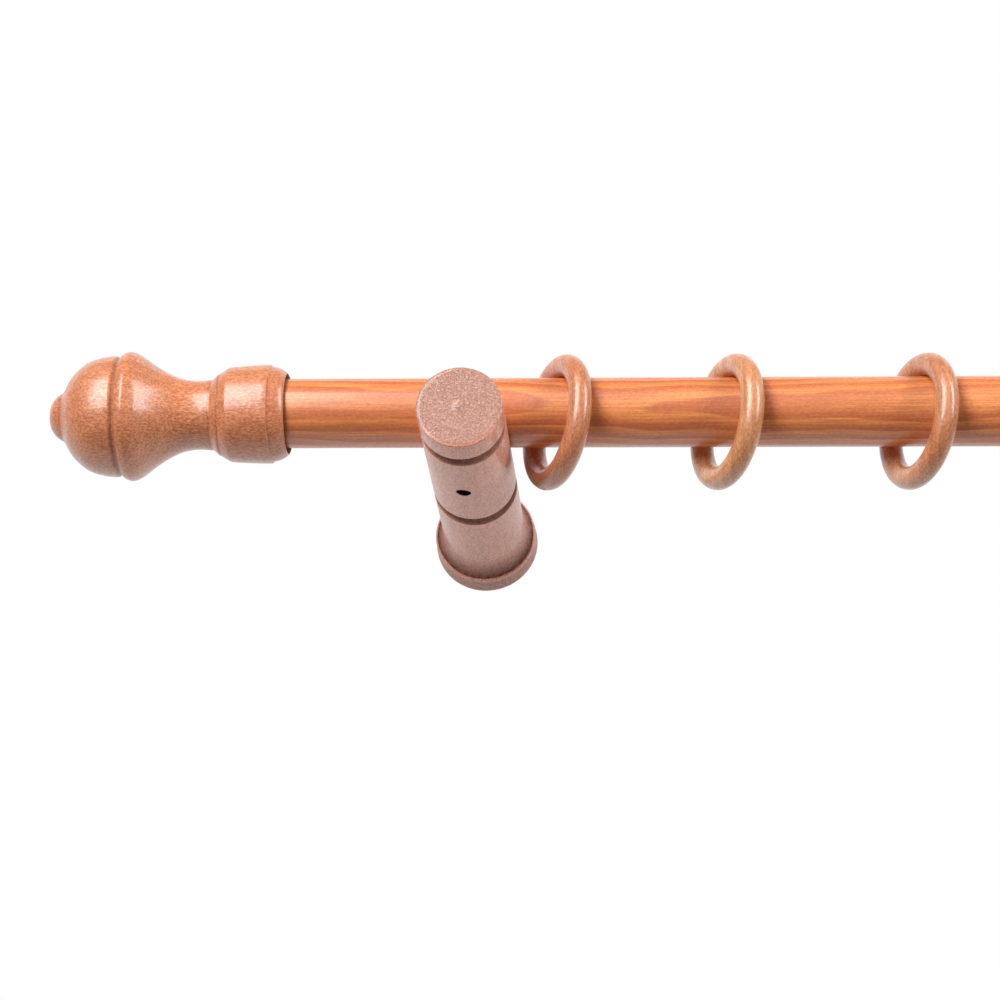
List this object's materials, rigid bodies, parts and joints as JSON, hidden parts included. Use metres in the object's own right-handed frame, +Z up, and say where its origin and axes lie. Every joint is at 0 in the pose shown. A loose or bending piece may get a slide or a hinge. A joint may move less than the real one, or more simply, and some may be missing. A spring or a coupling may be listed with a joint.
{
  "type": "curtain rod with brackets",
  "caption": "Turned wooden curtain rod carried in the saddles of two round-armed wall brackets, with ball finials on its ends and plain wooden rings hung along it.",
  "frame": {"origin": "on the wall plane, midway between the two brackets, at the height of the bracket arms' axis", "axes": "+X along the rod, +Y into the wall, +Z up; the room is on the -Y side"},
  "size_m": [1.348, 0.18, 0.0656],
  "materials": {
    "stained_rod": "warm orange-brown stain under a satin varnish, straight grain along the rod",
    "finial_wood": "stained beech with fine flecks, satin varnish",
    "pale_bracket_wood": "duller, paler beech with fine flecks and speckled end grain, satin varnish",
    "ring_wood": "honey-coloured beech, glossy varnish",
    "black_screw": "blacked steel",
    "zinc_steel": "bright zinc plate",
    "plug_nylon": "grey nylon"
  },
  "bodies": {
    "wall_brackets": {"bracket_left": "pale_bracket_wood", "bracket_right": "pale_bracket_wood", "hanger_bolt_left": "zinc_steel", "hanger_bolt_right": "zinc_steel", "wall_plug_left": "plug_nylon", "wall_plug_right": "plug_nylon"},
    "rod": {"rod": "stained_rod"},
    "ring_01": {"ring_01": "ring_wood"},
    "ring_02": {"ring_02": "ring_wood"},
    "ring_03": {"ring_03": "ring_wood"},
    "ring_04": {"ring_04": "ring_wood"},
    "ring_05": {"ring_05": "ring_wood"},
    "ring_06": {"ring_06": "ring_wood"},
    "ring_07": {"ring_07": "ring_wood"},
    "ring_08": {"ring_08": "ring_wood"},
    "ring_09": {"ring_09": "ring_wood"},
    "ring_10": {"ring_10": "ring_wood"},
    "ring_11": {"ring_11": "ring_wood"},
    "ring_12": {"ring_12": "ring_wood"},
    "finial_left": {"finial_left": "finial_wood"},
    "lock_screw_left": {"lock_screw_left": "black_screw"},
    "finial_right": {"finial_right": "finial_wood"},
    "lock_screw_right": {"lock_screw_right": "black_screw"}
  },
  "joints": [
    {"name": "rod_lift", "type": "slide", "parent": "wall_brackets", "child": "rod", "axis": [0, 0, 1], "range_m": [0, 0.06]},
    {"name": "ring_01_slide", "type": "slide", "parent": "rod", "child": "ring_01", "axis": [1, 0, 0], "range_m": [-0.0015, 0.0177]},
    {"name": "ring_02_slide", "type": "slide", "parent": "rod", "child": "ring_02", "axis": [1, 0, 0], "range_m": [-0.0177, 0.0217]},
    {"name": "ring_03_slide", "type": "slide", "parent": "rod", "child": "ring_03", "axis": [1, 0, 0], "range_m": [-0.0217, 0.0262]},
    {"name": "ring_04_slide", "type": "slide", "parent": "rod", "child": "ring_04", "axis": [1, 0, 0], "range_m": [-0.0262, 0.0272]},
    {"name": "ring_05_slide", "type": "slide", "parent": "rod", "child": "ring_05", "axis": [1, 0, 0], "range_m": [-0.0272, 0.0267]},
    {"name": "ring_06_slide", "type": "slide", "parent": "rod", "child": "ring_06", "axis": [1, 0, 0], "range_m": [-0.0267, 0.0277]},
    {"name": "ring_07_slide", "type": "slide", "parent": "rod", "child": "ring_07", "axis": [1, 0, 0], "range_m": [-0.0277, 0.0272]},
    {"name": "ring_08_slide", "type": "slide", "parent": "rod", "child": "ring_08", "axis": [1, 0, 0], "range_m": [-0.0272, 0.0287]},
    {"name": "ring_09_slide", "type": "slide", "parent": "rod", "child": "ring_09", "axis": [1, 0, 0], "range_m": [-0.0287, 0.0277]},
    {"name": "ring_10_slide", "type": "slide", "parent": "rod", "child": "ring_10", "axis": [1, 0, 0], "range_m": [-0.0277, 0.0292]},
    {"name": "ring_11_slide", "type": "slide", "parent": "rod", "child": "ring_11", "axis": [1, 0, 0], "range_m": [-0.0292, 0.0277]},
    {"name": "ring_12_slide", "type": "slide", "parent": "rod", "child": "ring_12", "axis": [1, 0, 0], "range_m": [-0.0277, 0.0035]},
    {"name": "finial_left_pull", "type": "slide", "parent": "rod", "child": "finial_left", "axis": [-1, 0, 0], "range_m": [0, 0.035]},
    {"name": "lock_screw_left_back_out", "type": "slide", "parent": "wall_brackets", "child": "lock_screw_left", "axis": [0, 0, -1], "range_m": [0, 0.03]},
    {"name": "finial_right_pull", "type": "slide", "parent": "rod", "child": "finial_right", "axis": [1, 0, 0], "range_m": [0, 0.035]},
    {"name": "lock_screw_right_back_out", "type": "slide", "parent": "wall_brackets", "child": "lock_screw_right", "axis": [0, 0, -1], "range_m": [0, 0.03]}
  ]
}
